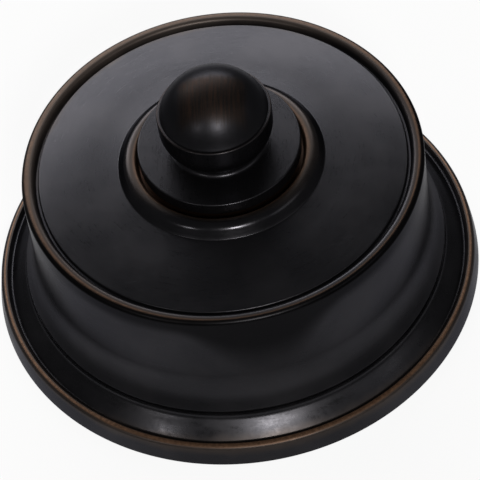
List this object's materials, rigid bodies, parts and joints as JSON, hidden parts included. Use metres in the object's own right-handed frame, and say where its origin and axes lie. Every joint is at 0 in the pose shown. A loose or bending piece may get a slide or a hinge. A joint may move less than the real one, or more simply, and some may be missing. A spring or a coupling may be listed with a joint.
{
  "type": "wall dimmer switch",
  "caption": "Round surface wall dimmer: flared base ring, drum cover with raised rim and collar, domed knob that turns to dim and pushes to switch, working parts inside.",
  "frame": {"origin": "centre of the back face, where the axis of the knob meets the wall", "axes": "+Z out of the wall along the axis of the knob, -Y towards the cable entry, X through the two fixing holes"},
  "size_m": [0.0838, 0.0838, 0.0489],
  "materials": {
    "bronze": "brass under a dark rubbed bronze finish, worn to copper brown along the edges",
    "black_moulding": "moulded black phenolic",
    "insert_plastic": "moulded nylon",
    "steel": "zinc plated steel",
    "can_steel": "tin plated steel",
    "brass": "plain turned brass",
    "contact_bronze": "spring bronze",
    "plate_aluminium": "pressed sheet",
    "board": "glass epoxy laminate with green resist",
    "wafer_phenolic": "brown paper laminate with a printed track",
    "switch_plastic": "moulded black thermoset",
    "plunger_plastic": "moulded natural acetal",
    "package_epoxy": "moulded epoxy package",
    "ferrite": "sintered powder core, coated",
    "copper_wire": "enamelled copper wire",
    "film_box": "yellow moulded box",
    "timing_box": "blue moulded box",
    "resistor_coat": "tan lacquer"
  },
  "bodies": {
    "base": {"base_ring": "bronze", "cover": "bronze", "insulating_base": "black_moulding", "terminal_block": "black_moulding", "frame_screws": "steel", "triac_screw": "steel", "triac_nut": "steel", "terminal_screws": "steel", "switch_spring": "steel", "bush_washer": "steel", "potentiometer_can": "can_steel", "threaded_bush": "brass", "bush_nut": "brass", "cover_ring_nut": "brass", "plate_pillars": "brass", "terminal_cages": "brass", "fixed_contacts": "contact_bronze", "heat_sink_plate": "plate_aluminium", "circuit_board": "board", "track_wafer": "wafer_phenolic", "switch_housing": "switch_plastic", "triac": "package_epoxy", "choke_core": "ferrite", "choke_winding": "copper_wire", "film_capacitor": "film_box", "timing_capacitor": "timing_box", "resistors": "resistor_coat"},
    "rotor": {"rotor": "switch_plastic", "wiper_contact": "contact_bronze"},
    "knob": {"knob": "bronze", "knob_insert": "insert_plastic", "shaft": "steel", "shaft_circlip": "steel"},
    "plunger": {"switch_plunger": "plunger_plastic", "moving_contact": "contact_bronze"}
  },
  "joints": [
    {"name": "knob_turn", "type": "hinge", "parent": "base", "child": "rotor", "pos_m": [0, 0, 0.0185], "axis": [0, 0, -1], "range_deg": [0, 270]},
    {"name": "knob_push", "type": "slide", "parent": "rotor", "child": "knob", "axis": [0, 0, -1], "range_m": [0, 0.0012], "stiffness_N_per_m": 2000, "springref_m": -0.0004},
    {"name": "plunger_push", "type": "slide", "parent": "base", "child": "plunger", "axis": [0, 0, -1], "range_m": [0, 0.0012], "deforming": ["switch_spring"]}
  ],
  "couplings": [
    {"joint": "plunger_push", "follows": "knob_push", "ratio": 1}
  ]
}
